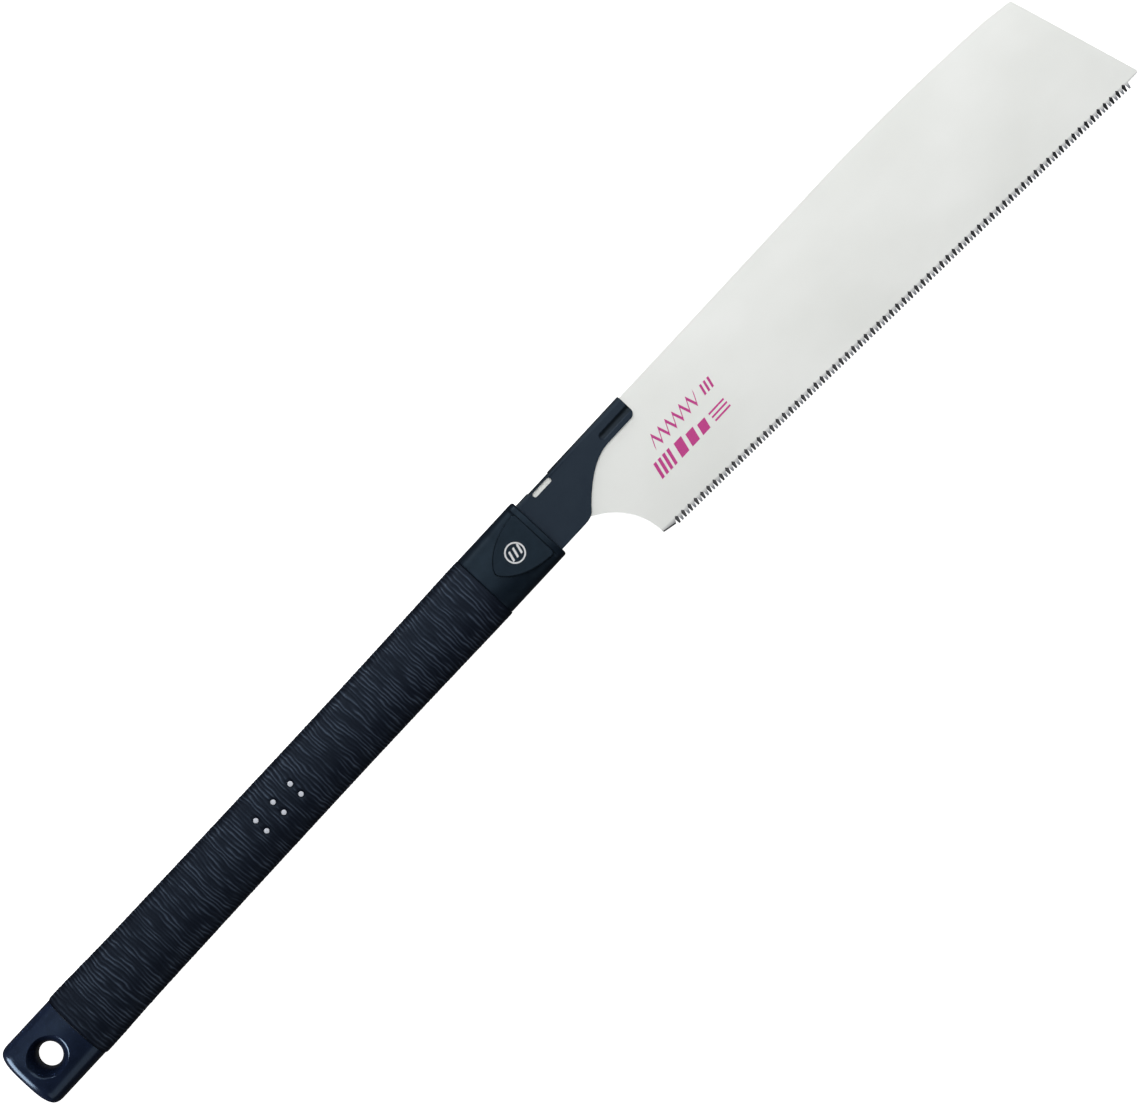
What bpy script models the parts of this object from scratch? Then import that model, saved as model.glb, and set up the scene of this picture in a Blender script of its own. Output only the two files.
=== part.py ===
"""Japanese pull saw with a replaceable blade, modelled as the pieces it comes apart into.

The saw lies on its side. Its own frame has X along the handle from the butt end to the toe,
Y towards the blade's spine, and Z across the blade, with z = 0 in the middle of the blade.
The empty saw_frame puts that frame on the part's frame: the centre of the underside of the
bounding box. Everything is in metres.
"""

import math

import bmesh
import bpy
from mathutils import Vector

MM = 0.001

# Driving dimensions: the whole saw
BUTT_END_X = 1.3 * MM
TOE_X = 620 * MM
SPINE_Y = 12.85 * MM
REST_Z = 11.6 * MM  # the badge plates' faces, which the saw lies on

# Blade
BLADE_T = 0.6 * MM
TOOTH_PITCH = 1.808 * MM
TOOTH_COUNT = 144
TOOTH_DEPTH = 2.4 * MM
TOOTH_LEAD = 0.35  # where the tip stands between its two gullets, towards the handle
TOOTH_LINE_ANGLE = math.radians(-3.12)
FIRST_GULLET = Vector((353.9 * MM, -38.45 * MM))
HEEL_CENTRE = Vector((318.7 * MM, -37.7 * MM))
HEEL_R = 28.1 * MM
HEEL_ANGLES = (math.radians(-1), math.radians(55))
SPINE_ARC_X = 492 * MM  # the spine is straight up to here, then falls away in an arc
SPINE_ARC_R = 1080 * MM
SPINE_ARC_END_X = 592 * MM
TOE_TOP = Vector((605.4 * MM, 6.1 * MM))
TOE_LOW = Vector((620.35 * MM, -52.9 * MM))
TOE_CORNER_R = 1.2 * MM

# Tang of the blade, which hooks over the hook pin
HOOK = Vector((300 * MM, 1 * MM))
HOOK_PIN_R = 2.4 * MM
HOOK_NOTCH_R = 2.65 * MM
TANG_END_X = 291.5 * MM
TANG_TOP_Y = 6 * MM
TANG_LOW_Y = -6.1 * MM

# Blade holder, folded from one sheet over the spine
SHEET_T = 1.0 * MM
BLADE_GAP = 0.15 * MM
HOLDER_HALF = BLADE_T / 2 + BLADE_GAP + SHEET_T
HOLDER_TOP_Y = 13.7 * MM
HOLDER_LOW_Y = -12.7 * MM
NOSE_X = 374.8 * MM
NOSE_LOW_Y = 3.4 * MM
TANG_X = 252 * MM
TANG_HALF = 7 * MM
SHOULDER_X = 286 * MM
WINDOW = ((320.9 * MM, 331.2 * MM), (9.8 * MM, 12.0 * MM))
RIB_Y = 7.1 * MM
RIB_X = 356.0 * MM
RIB_R = 2.7 * MM
RIB_DEPTH = 0.6 * MM

# Handle
BUTT_HALF = Vector((15.95 * MM, 10.8 * MM))  # half height along Y, half thickness along Z
FERRULE_HALF = Vector((15.45 * MM, 10.8 * MM))
FERRULE_Y = 0.35 * MM  # the ferrule sits a little towards the spine
GRIP_X = (32.4 * MM, 279.6 * MM)
FERRULE_X = (280 * MM, 313.1 * MM)
TUBE_HALF = Vector((14.0 * MM, 9.4 * MM))
TUBE_WALL = 1.7 * MM
SPIGOT_HALF = Vector((12.0 * MM, 7.4 * MM))
FIT_GAP = 0.2 * MM
HANG_HOLE = Vector((16.5 * MM, 0.3 * MM))
HANG_THROAT_R = 5.25 * MM
HANG_MOUTH_R = 8.9 * MM
TANG_PINS = (262 * MM, 276 * MM)
TANG_PIN_R = 2.0 * MM
PIP_X = (145.7 * MM, 156.1 * MM, 166.4 * MM)
PIP_Y = (3.6 * MM, -2.5 * MM)
PIP_R = 1.12 * MM

ROUND = 24  # sides of a small round piece
OVAL = 40  # points round the handle


# Scene, materials and bookkeeping


def clear_scene():
    for old in list(bpy.data.objects):
        bpy.data.objects.remove(old)


def collection(name):
    made = bpy.data.collections.new(name)
    bpy.context.scene.collection.children.link(made)
    return made


def material(name, colour, roughness, metallic=0.0):
    made = bpy.data.materials.new(name)
    made.use_nodes = True
    shader = made.node_tree.nodes["Principled BSDF"]
    shader.inputs["Base Color"].default_value = (*colour, 1.0)
    shader.inputs["Roughness"].default_value = roughness
    shader.inputs["Metallic"].default_value = metallic
    return made


def add_part(obj, paint, parent=None):
    """Puts a finished piece in the saw's collection and frame, in its material."""
    for holder in list(obj.users_collection):
        holder.objects.unlink(obj)
    saw.objects.link(obj)
    obj.parent = parent or saw_frame
    obj.data.materials.clear()
    obj.data.materials.append(paint)
    return obj


def as_cutter(obj):
    """Marks a mesh as a tool that only shapes other pieces."""
    for holder in list(obj.users_collection):
        holder.objects.unlink(obj)
    cutters.objects.link(obj)
    obj.parent = saw_frame
    obj.hide_render = True
    obj.display_type = "WIRE"
    return obj


def cut(obj, cutter, operation="DIFFERENCE"):
    modifier = obj.modifiers.new(cutter.name, "BOOLEAN")
    modifier.operation = operation
    modifier.object = cutter


def smooth(obj):
    obj.data.shade_smooth()
    obj.data.set_sharp_from_angle(angle=math.radians(35))


# Outlines in the plane of the blade


def arc(centre, radius, start, end, steps):
    """Points on an arc, both ends included, with angles in radians."""
    angles = [start + (end - start) * i / steps for i in range(steps + 1)]
    return [centre + radius * Vector((math.cos(a), math.sin(a))) for a in angles]


def rounded(corners, steps=4):
    """A closed outline through (x, y, radius) corners, each corner rounded by its radius."""
    points = []
    for i, (x, y, radius) in enumerate(corners):
        here = Vector((x, y))
        if radius == 0:
            points.append(here)
            continue
        back = (Vector(corners[i - 1][:2]) - here).normalized()
        ahead = (Vector(corners[(i + 1) % len(corners)][:2]) - here).normalized()
        half = back.angle(ahead) / 2
        centre = here + (back + ahead).normalized() * radius / math.sin(half)
        reach = radius / math.tan(half)
        start = here + back * reach - centre
        turn = start.angle_signed(here + ahead * reach - centre)
        first = math.atan2(start.y, start.x)
        points += arc(centre, radius, first, first - turn, steps)
    return points


def bezier(p0, p1, p2, p3, steps):
    """Points on a cubic Bezier curve, both ends included."""
    found = []
    for i in range(steps + 1):
        t = i / steps
        s = 1 - t
        found.append(p0 * s**3 + p1 * 3 * s * s * t + p2 * 3 * s * t * t + p3 * t**3)
    return found


def plate(name, outline, half_thickness, edge=0.0):
    """A flat piece from a closed outline, centred on z = 0, with edges rounded by edge."""
    curve = bpy.data.curves.new(name, "CURVE")
    curve.dimensions = "2D"
    curve.fill_mode = "BOTH"
    curve.extrude = half_thickness - edge
    curve.bevel_depth = edge
    curve.bevel_resolution = 1
    curve.offset = -edge
    spline = curve.splines.new("POLY")
    spline.points.add(len(outline) - 1)
    for point, place in zip(spline.points, outline):
        point.co = (place.x, place.y, 0, 1)
    spline.use_cyclic_u = True
    obj = bpy.data.objects.new(name, curve)
    bpy.context.scene.collection.objects.link(obj)
    return obj


def meshed(obj, height=0.0):
    """The curve object as a closed mesh object, raised by height."""
    bpy.context.view_layer.update()
    graph = bpy.context.evaluated_depsgraph_get()
    mesh = bpy.data.meshes.new_from_object(obj.evaluated_get(graph))
    shape = bmesh.new()
    shape.from_mesh(mesh)
    bmesh.ops.remove_doubles(shape, verts=shape.verts, dist=1e-6)
    bmesh.ops.recalc_face_normals(shape, faces=shape.faces)
    shape.to_mesh(mesh)
    shape.free()
    mesh.shade_flat()
    made = bpy.data.objects.new(obj.name + "_mesh", mesh)
    bpy.context.scene.collection.objects.link(made)
    made.matrix_world = obj.matrix_world
    made.location.z += height
    name = obj.name
    bpy.data.objects.remove(obj)
    made.name = name
    return made


# Solids


def box(name, low, high):
    """A box between two corners."""
    shape = bmesh.new()
    bmesh.ops.create_cube(shape, size=1)
    size = Vector(high) - Vector(low)
    bmesh.ops.scale(shape, vec=size, verts=shape.verts)
    mesh = bpy.data.meshes.new(name)
    shape.to_mesh(mesh)
    shape.free()
    obj = bpy.data.objects.new(name, mesh)
    bpy.context.scene.collection.objects.link(obj)
    obj.location = (Vector(low) + Vector(high)) / 2
    return obj


def cylinder(name, place, radius, half_length, axis="Z", sides=ROUND):
    """A cylinder centred on place, along Z or X."""
    shape = bmesh.new()
    bmesh.ops.create_cone(
        shape,
        cap_ends=True,
        segments=sides,
        radius1=radius,
        radius2=radius,
        depth=2 * half_length,
    )
    mesh = bpy.data.meshes.new(name)
    shape.to_mesh(mesh)
    shape.free()
    obj = bpy.data.objects.new(name, mesh)
    bpy.context.scene.collection.objects.link(obj)
    obj.location = place
    if axis == "X":
        obj.rotation_euler.y = math.pi / 2
    return obj


def oval(half, power, count=OVAL):
    """A superellipse: power 2 is an ellipse, and a higher power is nearer to a rectangle."""
    points = []
    for i in range(count):
        angle = 2 * math.pi * (i + 0.5) / count
        c, s = math.cos(angle), math.sin(angle)
        y = math.copysign(abs(c) ** (2 / power), c) * half[0]
        z = math.copysign(abs(s) ** (2 / power), s) * half[1]
        points.append(Vector((y, z)))
    return points


def loft(name, stations, capped=True):
    """Skins oval sections given as (x, half height, half thickness, power, centre y)."""
    shape = bmesh.new()
    rings = []
    for x, half_y, half_z, power, centre_y in stations:
        section = oval((half_y, half_z), power)
        rings.append([shape.verts.new((x, p.x + centre_y, p.y)) for p in section])
    for one, two in zip(rings, rings[1:]):
        for i in range(OVAL):
            j = (i + 1) % OVAL
            shape.faces.new((one[i], one[j], two[j], two[i]))
    if capped:
        shape.faces.new(rings[0])
        shape.faces.new(rings[-1])
    bmesh.ops.recalc_face_normals(shape, faces=shape.faces)
    mesh = bpy.data.meshes.new(name)
    shape.to_mesh(mesh)
    shape.free()
    obj = bpy.data.objects.new(name, mesh)
    bpy.context.scene.collection.objects.link(obj)
    return obj


# The pieces


def spine():
    """The falling part of the spine, from the straight part to the toe."""
    centre = Vector((SPINE_ARC_X, SPINE_Y - SPINE_ARC_R))
    sweep = math.asin((SPINE_ARC_END_X - SPINE_ARC_X) / SPINE_ARC_R)
    return arc(centre, SPINE_ARC_R, math.pi / 2, math.pi / 2 - sweep, 12)


def toe():
    """The toe's edge between its two rounded corners, from the top down."""
    corners = [
        (*spine()[-1], 0),
        (*TOE_TOP, TOE_CORNER_R),
        (*TOE_LOW, TOE_CORNER_R),
        (*gullet(TOOTH_COUNT), 0),
    ]
    return rounded(corners)[1:-1]


def gullet(index):
    """The bottom of a gap between teeth, counted from the heel."""
    along = Vector((math.cos(TOOTH_LINE_ANGLE), math.sin(TOOTH_LINE_ANGLE)))
    return FIRST_GULLET + along * TOOTH_PITCH * index


def tip(index):
    """The point of the tooth after that gap."""
    down = Vector((math.sin(TOOTH_LINE_ANGLE), -math.cos(TOOTH_LINE_ANGLE)))
    return gullet(index + TOOTH_LEAD) + down * TOOTH_DEPTH


def teeth():
    """Gaps and points from the toe back to the heel."""
    points = [gullet(TOOTH_COUNT)]
    for i in reversed(range(TOOTH_COUNT)):
        points += [tip(i), gullet(i)]
    return points


def tang():
    """The tang's round-ended hook, from its lower edge over the notch to the spine."""
    rear = rounded(
        [
            (HOOK.x - HOOK_NOTCH_R, HOOK.y, 0),
            (HOOK.x - HOOK_NOTCH_R, TANG_LOW_Y, 0.8 * MM),
            (TANG_END_X, TANG_LOW_Y, 2.5 * MM),
            (TANG_END_X, TANG_TOP_Y, 2.5 * MM),
            (309 * MM, TANG_TOP_Y, 0),
            (316.5 * MM, SPINE_Y, 0),
        ]
    )[1:]
    front = Vector((HOOK.x + HOOK_NOTCH_R, TANG_LOW_Y + 0.8 * MM))
    mouth = [front + Vector((0.8 * MM, -0.8 * MM)), front]
    return mouth + arc(HOOK, HOOK_NOTCH_R, 0, math.pi, 8) + rear


def blade():
    """The toothed plate. It turns on the hook pin, so that is where its origin is."""
    heel_tip = FIRST_GULLET + Vector((-1.0 * MM, -1.55 * MM))
    heel_end = Vector((347.1 * MM, -38.7 * MM))
    heel = arc(HEEL_CENTRE, HEEL_R, *HEEL_ANGLES, 18)
    under_holder = Vector((322.5 * MM, TANG_LOW_Y))
    outline = tang() + spine() + toe() + teeth() + [heel_tip, heel_end] + heel + [under_holder]
    pivot = bpy.data.objects.new("blade_pivot", None)
    saw.objects.link(pivot)
    pivot.parent = saw_frame
    pivot.location = (*HOOK, 0)
    shape = [point - HOOK for point in outline]
    return add_part(plate("blade", shape, BLADE_T / 2), steel, pivot)


def holder_outline():
    """Spine, nose, the curved front edge, the lower edge and the narrow tang."""
    nose = rounded(
        [
            (NOSE_X - 20 * MM, NOSE_LOW_Y, 0),
            (NOSE_X, NOSE_LOW_Y, 2.7 * MM),
            (NOSE_X, HOLDER_TOP_Y, 0.5 * MM),
            (NOSE_X - 20 * MM, HOLDER_TOP_Y, 0),
        ]
    )[1:-1]
    front = bezier(
        Vector((358.5 * MM, NOSE_LOW_Y)),
        Vector((350.5 * MM, NOSE_LOW_Y)),
        Vector((342.6 * MM, -1.9 * MM)),
        Vector((335.0 * MM, -8.7 * MM)),
        12,
    )
    low_corner = bezier(
        Vector((333.0 * MM, -10.8 * MM)),
        Vector((331.0 * MM, -12.6 * MM)),
        Vector((329.0 * MM, HOLDER_LOW_Y)),
        Vector((325.0 * MM, HOLDER_LOW_Y)),
        5,
    )
    tang = [
        Vector((SHOULDER_X + 4 * MM, HOLDER_LOW_Y)),
        Vector((SHOULDER_X, -TANG_HALF)),
        Vector((TANG_X + 1.5 * MM, -TANG_HALF)),
        Vector((TANG_X, 1.5 * MM - TANG_HALF)),
        Vector((TANG_X, TANG_HALF - 1.5 * MM)),
        Vector((TANG_X + 1.5 * MM, TANG_HALF)),
        Vector((SHOULDER_X, TANG_HALF)),
        Vector((SHOULDER_X + 4 * MM, HOLDER_TOP_Y)),
    ]
    return nose + tang[::-1] + low_corner[::-1] + front[::-1]


def fold_section():
    """A bar along X whose top edge is the round outside of the sheet's fold."""
    low_y = HOLDER_LOW_Y - 5 * MM
    centre = Vector((HOLDER_TOP_Y - HOLDER_HALF, 0))
    top = arc(centre, HOLDER_HALF, -math.pi / 2, math.pi / 2, 8)
    outline = [Vector((low_y, -HOLDER_HALF))] + top + [Vector((low_y, HOLDER_HALF))]
    bar = plate("fold_section", outline, (NOSE_X - TANG_X) / 2 + 5 * MM)
    bar.location.x = (NOSE_X + TANG_X) / 2
    bar.rotation_euler = (math.pi / 2, 0, math.pi / 2)
    return meshed(bar)


def window_outline():
    (x0, x1), (y0, y1) = WINDOW
    r = (y1 - y0) / 2
    middle = (y0 + y1) / 2
    right = arc(Vector((x1 - r, middle)), r, -math.pi / 2, math.pi / 2, 8)
    left = arc(Vector((x0 + r, middle)), r, math.pi / 2, 1.5 * math.pi, 8)
    return right + left


def blade_holder():
    """A sheet folded over the blade's spine, open below and at the nose."""
    obj = meshed(plate("blade_holder", holder_outline(), HOLDER_HALF + 1 * MM))
    cut(obj, as_cutter(fold_section()), "INTERSECT")
    inside = HOLDER_HALF - SHEET_T
    slot_low = (TANG_X - 5 * MM, HOLDER_LOW_Y - 9 * MM, -inside)
    slot_high = (NOSE_X + 5 * MM, HOLDER_TOP_Y - 0.8 * MM, inside)
    cut(obj, as_cutter(box("blade_slot", slot_low, slot_high)))
    window = meshed(plate("window_cutter", window_outline(), 3 * MM))
    cut(obj, as_cutter(window))
    for side in (-1, 1):
        height = side * (HOLDER_HALF + RIB_R - RIB_DEPTH)
        centre = (RIB_X + 15 * MM, RIB_Y, height)
        name = f"rib_cutter_{'left' if side < 0 else 'right'}"
        cut(obj, as_cutter(cylinder(name, centre, RIB_R, 15 * MM, "X", 20)))
    hook_hole = cylinder("hook_hole", (HOOK.x, HOOK.y, 0), HOOK_PIN_R + 0.15 * MM, 4 * MM)
    cut(obj, as_cutter(hook_hole))
    for i, x in enumerate(TANG_PINS):
        hole = cylinder(f"tang_hole_{i}", (x, 0, 0), TANG_PIN_R + 0.1 * MM, 15 * MM)
        cut(obj, as_cutter(hole))
    return add_part(obj, holder_paint)


def hook_pin():
    """The pin across the holder that the blade's tang hooks over."""
    obj = cylinder("hook_pin", (HOOK.x, HOOK.y, 0), HOOK_PIN_R, HOLDER_HALF)
    smooth(obj)
    return add_part(obj, pin_steel)


def tang_spacer():
    """Fills the gap between the holder's two sheets where the pins cross them."""
    half = HOLDER_HALF - SHEET_T - 0.05 * MM
    low = (TANG_X + 0.5 * MM, 0.5 * MM - TANG_HALF, -half)
    high = (SHOULDER_X - 1 * MM, TANG_HALF - 0.5 * MM, half)
    obj = box("tang_spacer", low, high)
    for i in range(len(TANG_PINS)):
        cut(obj, bpy.data.objects[f"tang_hole_{i}"])
    return add_part(obj, pin_steel)


def tang_pin(name, x):
    """Locks the holder's tang, the ferrule's spigot and the handle tube together."""
    obj = cylinder(name, (x, 0, 0), TANG_PIN_R, TUBE_HALF.y - 0.1 * MM)
    smooth(obj)
    return add_part(obj, pin_steel)


def shield_outline(grow=0.0):
    """A shield with its round point towards the butt, grown outwards by grow."""
    front_x = 309.4 * MM + grow
    point_x = 286.8 * MM - grow
    top_y = 12.0 * MM + grow
    low_y = -11.4 * MM - grow
    middle = (top_y + low_y) / 2
    shoulder = Vector((point_x + 0.9 * MM, middle + 2.2 * MM))
    upper = bezier(
        Vector((front_x - 1 * MM, top_y - 0.1 * MM)),
        Vector((301 * MM, top_y - 0.7 * MM)),
        Vector((292.8 * MM - grow, middle + 8.4 * MM + grow)),
        shoulder,
        10,
    )
    nose = Vector((point_x, middle))
    upper += bezier(shoulder, shoulder.lerp(nose, 0.4), nose + Vector((0, 0.8 * MM)), nose, 3)[1:]
    lower = [Vector((p.x, 2 * middle - p.y)) for p in upper[:-1]]
    front = [
        Vector((front_x, low_y + 1.1 * MM)),
        Vector((front_x, top_y - 1.1 * MM)),
    ]
    return upper + lower[::-1] + front


def badge_plate(name, side):
    """The raised shield on one face of the ferrule."""
    floor = 8.9 * MM
    half = (REST_Z - floor) / 2
    obj = meshed(plate(name, shield_outline(), half, 0.6 * MM), side * (floor + half))
    return add_part(obj, ferrule_plastic)


def front_ferrule():
    """The collar and, behind it, the spigot that plugs into the handle tube."""
    rear, front = FERRULE_X
    hy, hz = FERRULE_HALF
    sy, sz = SPIGOT_HALF
    lip = 0.5 * MM
    stations = [
        (247.0 * MM, sy - 0.8 * MM, sz - 0.8 * MM, 2.6, 0),
        (248.0 * MM, sy, sz, 2.6, 0),
        (rear - 0.01 * MM, sy, sz, 2.6, 0),
        (rear, hy - 0.3 * MM, hz - 0.3 * MM, 2.6, FERRULE_Y),
        (rear + 0.5 * MM, hy, hz, 2.6, FERRULE_Y),
        (296 * MM, hy, hz, 3.0, FERRULE_Y),
        (309.6 * MM, hy, hz, 4.2, FERRULE_Y),
        (310.1 * MM, hy, hz + lip, 4.4, FERRULE_Y),
        (front - 0.9 * MM, hy, hz + lip, 4.4, FERRULE_Y),
        (front - 0.25 * MM, hy - 0.3 * MM, hz + lip - 0.3 * MM, 4.4, FERRULE_Y),
        (front, hy - 0.9 * MM, hz + lip - 0.9 * MM, 4.4, FERRULE_Y),
    ]
    obj = loft("front_ferrule", stations)
    clear = HOLDER_HALF + 0.15 * MM
    neck_low = (SHOULDER_X - 1 * MM, HOLDER_LOW_Y - FIT_GAP, -clear)
    neck_high = (front + 5 * MM, HOLDER_TOP_Y + FIT_GAP, clear)
    cut(obj, as_cutter(box("neck_pocket", neck_low, neck_high)))
    tang_low = (TANG_X - 0.5 * MM, -TANG_HALF - FIT_GAP, -clear)
    tang_high = (SHOULDER_X + 1 * MM, TANG_HALF + FIT_GAP, clear)
    cut(obj, as_cutter(box("tang_pocket", tang_low, tang_high)))
    for i in range(len(TANG_PINS)):
        cut(obj, bpy.data.objects[f"tang_hole_{i}"])
    for side, name in ((1, "shield_recess_right"), (-1, "shield_recess_left")):
        recess = meshed(plate(name, shield_outline(0.25 * MM), 3 * MM), side * 11.6 * MM)
        cut(obj, as_cutter(recess))
    return add_part(obj, ferrule_plastic)


def handle_tube():
    """The stiff oval tube inside the grip."""
    start, end = GRIP_X
    obj = loft(
        "handle_tube",
        [(start + 0.1 * MM, *TUBE_HALF, 2.6, 0), (end - 0.1 * MM, *TUBE_HALF, 2.6, 0)],
        capped=False,
    )
    wall = obj.modifiers.new("wall", "SOLIDIFY")
    wall.thickness = TUBE_WALL
    wall.offset = -1
    for i in range(len(TANG_PINS)):
        cut(obj, bpy.data.objects[f"tang_hole_{i}"])
    return add_part(obj, core_plastic)


def grip_sleeve():
    """The soft sleeve, a little waisted, that stands proud of the cap and the ferrule."""
    start, end = GRIP_X
    waist = [
        (start, 15.9, 11.0),
        (start + 0.4 * MM, 16.15, 11.2),
        (34.0 * MM, 16.35, 11.45),
        (46.0 * MM, 16.1, 11.2),
        (62.0 * MM, 15.85, 11.0),
        (100.0 * MM, 15.45, 10.75),
        (150.0 * MM, 15.2, 10.6),
        (210.0 * MM, 15.2, 10.6),
        (245.0 * MM, 15.4, 10.8),
        (end - 0.6 * MM, 15.75, 11.0),
        (end, 15.5, 10.8),
    ]
    obj = loft("grip_sleeve", [(x, hy * MM, hz * MM, 2.6, 0) for x, hy, hz in waist])
    inner = TUBE_HALF + Vector((0.15 * MM, 0.15 * MM))
    bore = loft("sleeve_bore", [(0, *inner, 2.6, 0), (TOE_X / 2, *inner, 2.6, 0)])
    cut(obj, as_cutter(bore))
    for i, (x, y) in enumerate((x, y) for x in PIP_X for y in PIP_Y):
        hole = cylinder(f"pip_hole_{i}", (x, y, 14 * MM), PIP_R + 0.1 * MM, 4.5 * MM, "Z", 16)
        cut(obj, as_cutter(hole))
    return add_part(obj, elastomer)


def pip(name, x, y):
    """One white marker let into the grip."""
    floor = TUBE_HALF.y + 0.1 * MM
    top = 10.7 * MM
    obj = cylinder(name, (x, y, (floor + top) / 2), PIP_R, (top - floor) / 2, "Z", 16)
    smooth(obj)
    return add_part(obj, white_plastic)


def hang_hole_cutter():
    """The turned shape of the hang hole: a throat that flares to both faces."""
    face = BUTT_HALF.y
    throat = 2.2 * MM
    flare = bezier(
        Vector((HANG_THROAT_R, throat)),
        Vector((HANG_THROAT_R + 0.4 * MM, 0.55 * face)),
        Vector((HANG_MOUTH_R - 1.6 * MM, 0.8 * face)),
        Vector((HANG_MOUTH_R, face)),
        5,
    )
    upper = [Vector((HANG_MOUTH_R + 1.2 * MM, face + 4 * MM))] + flare[::-1]
    profile = [Vector((0, face + 4 * MM))] + upper
    profile += [Vector((p.x, -p.y)) for p in reversed(profile)]
    shape = bmesh.new()
    points = [shape.verts.new((p.x, 0, p.y)) for p in profile]
    for one, two in zip(points, points[1:]):
        shape.edges.new((one, two))
    mesh = bpy.data.meshes.new("hang_hole_cutter")
    shape.to_mesh(mesh)
    shape.free()
    obj = bpy.data.objects.new("hang_hole_cutter", mesh)
    bpy.context.scene.collection.objects.link(obj)
    turn = obj.modifiers.new("turn", "SCREW")
    turn.steps = turn.render_steps = 32
    turn.use_merge_vertices = True
    turn.merge_threshold = 0.00001
    obj.location = (*HANG_HOLE, 0)
    return as_cutter(obj)


def butt_cap():
    """The end piece with the hang hole, and its spigot inside the handle tube."""
    hy, hz = BUTT_HALF
    sy, sz = SPIGOT_HALF
    joint_x = GRIP_X[0] - 0.3 * MM
    end_round = [
        (0.0, 9.0, 5.6),
        (0.2, 11.0, 7.2),
        (0.55, 12.6, 8.3),
        (1.1, 13.9, 9.2),
        (1.9, 14.9, 9.95),
        (3.0, 15.55, 10.5),
        (4.9, 15.95, 10.8),
    ]
    stations = []
    for x, half_y, half_z in end_round:
        stations.append((BUTT_END_X + x * MM, half_y * MM, half_z * MM, 2.9, 0))
    stations += [
        (joint_x, hy, hz, 2.6, 0),
        (joint_x + 0.01 * MM, sy, sz, 2.6, 0),
        (52.0 * MM, sy, sz, 2.6, 0),
        (53.0 * MM, sy - 0.8 * MM, sz - 0.8 * MM, 2.6, 0),
    ]
    obj = loft("butt_cap", stations)
    cut(obj, hang_hole_cutter())
    return add_part(obj, cap_plastic)


clear_scene()
saw = collection("pull_saw")
cutters = collection("cutters")
saw_frame = bpy.data.objects.new("saw_frame", None)
saw.objects.link(saw_frame)
grip_top_y = 16.35 * MM
lowest_y = tip(TOOTH_COUNT - 1).y
middle_x = (BUTT_END_X + TOE_X) / 2
saw_frame.location = (-middle_x, -(grip_top_y + lowest_y) / 2, REST_Z)

steel = material("blade_steel", (0.78, 0.80, 0.77), 0.35, 0.9)
pin_steel = material("pin_steel", (0.55, 0.56, 0.58), 0.35, 0.9)
holder_paint = material("holder_paint", (0.020, 0.029, 0.044), 0.45)
ferrule_plastic = material("ferrule_plastic", (0.018, 0.026, 0.040), 0.40)
cap_plastic = material("cap_plastic", (0.014, 0.021, 0.036), 0.35)
core_plastic = material("core_plastic", (0.03, 0.03, 0.03), 0.5)
elastomer = material("grip_elastomer", (0.016, 0.021, 0.032), 0.55)
white_plastic = material("white_plastic", (0.85, 0.87, 0.9), 0.4)

blade()
blade_holder()
hook_pin()
tang_spacer()
tang_pin("tang_pin_rear", TANG_PINS[0])
tang_pin("tang_pin_front", TANG_PINS[1])
front_ferrule()
badge_plate("badge_plate_right", 1)
badge_plate("badge_plate_left", -1)
handle_tube()
grip_sleeve()
butt_cap()
for column, x in enumerate(PIP_X, start=1):
    for row, y in zip(("upper", "lower"), PIP_Y):
        pip(f"grip_pip_{row}_{column}", x, y)
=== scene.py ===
"""The looks of the pull saw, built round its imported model.

Shapes are worked out in millimetres in the saw's own frame and turned into metres in the
model's frame when a mesh is made. In the saw's frame X runs from the butt end to the toe, Y
towards the spine, Z up, and z = 0 is the middle of the blade.
"""

import math

import bmesh
import bpy
import numpy as np
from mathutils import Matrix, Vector, noise


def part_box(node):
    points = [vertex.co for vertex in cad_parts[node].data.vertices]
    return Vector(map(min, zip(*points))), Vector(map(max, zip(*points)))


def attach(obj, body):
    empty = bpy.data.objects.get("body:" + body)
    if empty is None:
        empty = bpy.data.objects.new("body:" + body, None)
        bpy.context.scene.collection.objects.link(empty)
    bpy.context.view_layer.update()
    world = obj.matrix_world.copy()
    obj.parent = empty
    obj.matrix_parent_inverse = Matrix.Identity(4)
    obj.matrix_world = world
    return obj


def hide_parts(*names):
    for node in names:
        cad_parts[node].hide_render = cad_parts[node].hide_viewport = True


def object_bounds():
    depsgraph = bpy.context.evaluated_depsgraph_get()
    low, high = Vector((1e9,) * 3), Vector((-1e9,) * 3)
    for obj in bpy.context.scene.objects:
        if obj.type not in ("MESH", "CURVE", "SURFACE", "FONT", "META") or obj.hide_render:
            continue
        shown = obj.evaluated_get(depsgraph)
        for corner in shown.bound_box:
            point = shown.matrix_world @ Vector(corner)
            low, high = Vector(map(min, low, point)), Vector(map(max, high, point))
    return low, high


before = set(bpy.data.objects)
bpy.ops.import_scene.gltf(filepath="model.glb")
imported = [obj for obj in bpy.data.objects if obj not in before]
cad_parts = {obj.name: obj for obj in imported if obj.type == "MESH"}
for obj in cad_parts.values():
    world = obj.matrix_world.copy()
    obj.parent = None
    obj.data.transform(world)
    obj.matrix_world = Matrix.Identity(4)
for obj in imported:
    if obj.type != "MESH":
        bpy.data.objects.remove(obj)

CAD_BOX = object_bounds()
BUTT_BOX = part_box("butt_cap")
BLADE_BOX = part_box("blade")

MM = 0.001
BUTT_END_X = 1.3  # where the saw begins in its own frame, in mm
ORIGIN = Vector(
    (
        CAD_BOX[0].x - BUTT_END_X * MM,
        (BUTT_BOX[0].y + BUTT_BOX[1].y) / 2,
        (BLADE_BOX[0].z + BLADE_BOX[1].z) / 2,
    )
)

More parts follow.
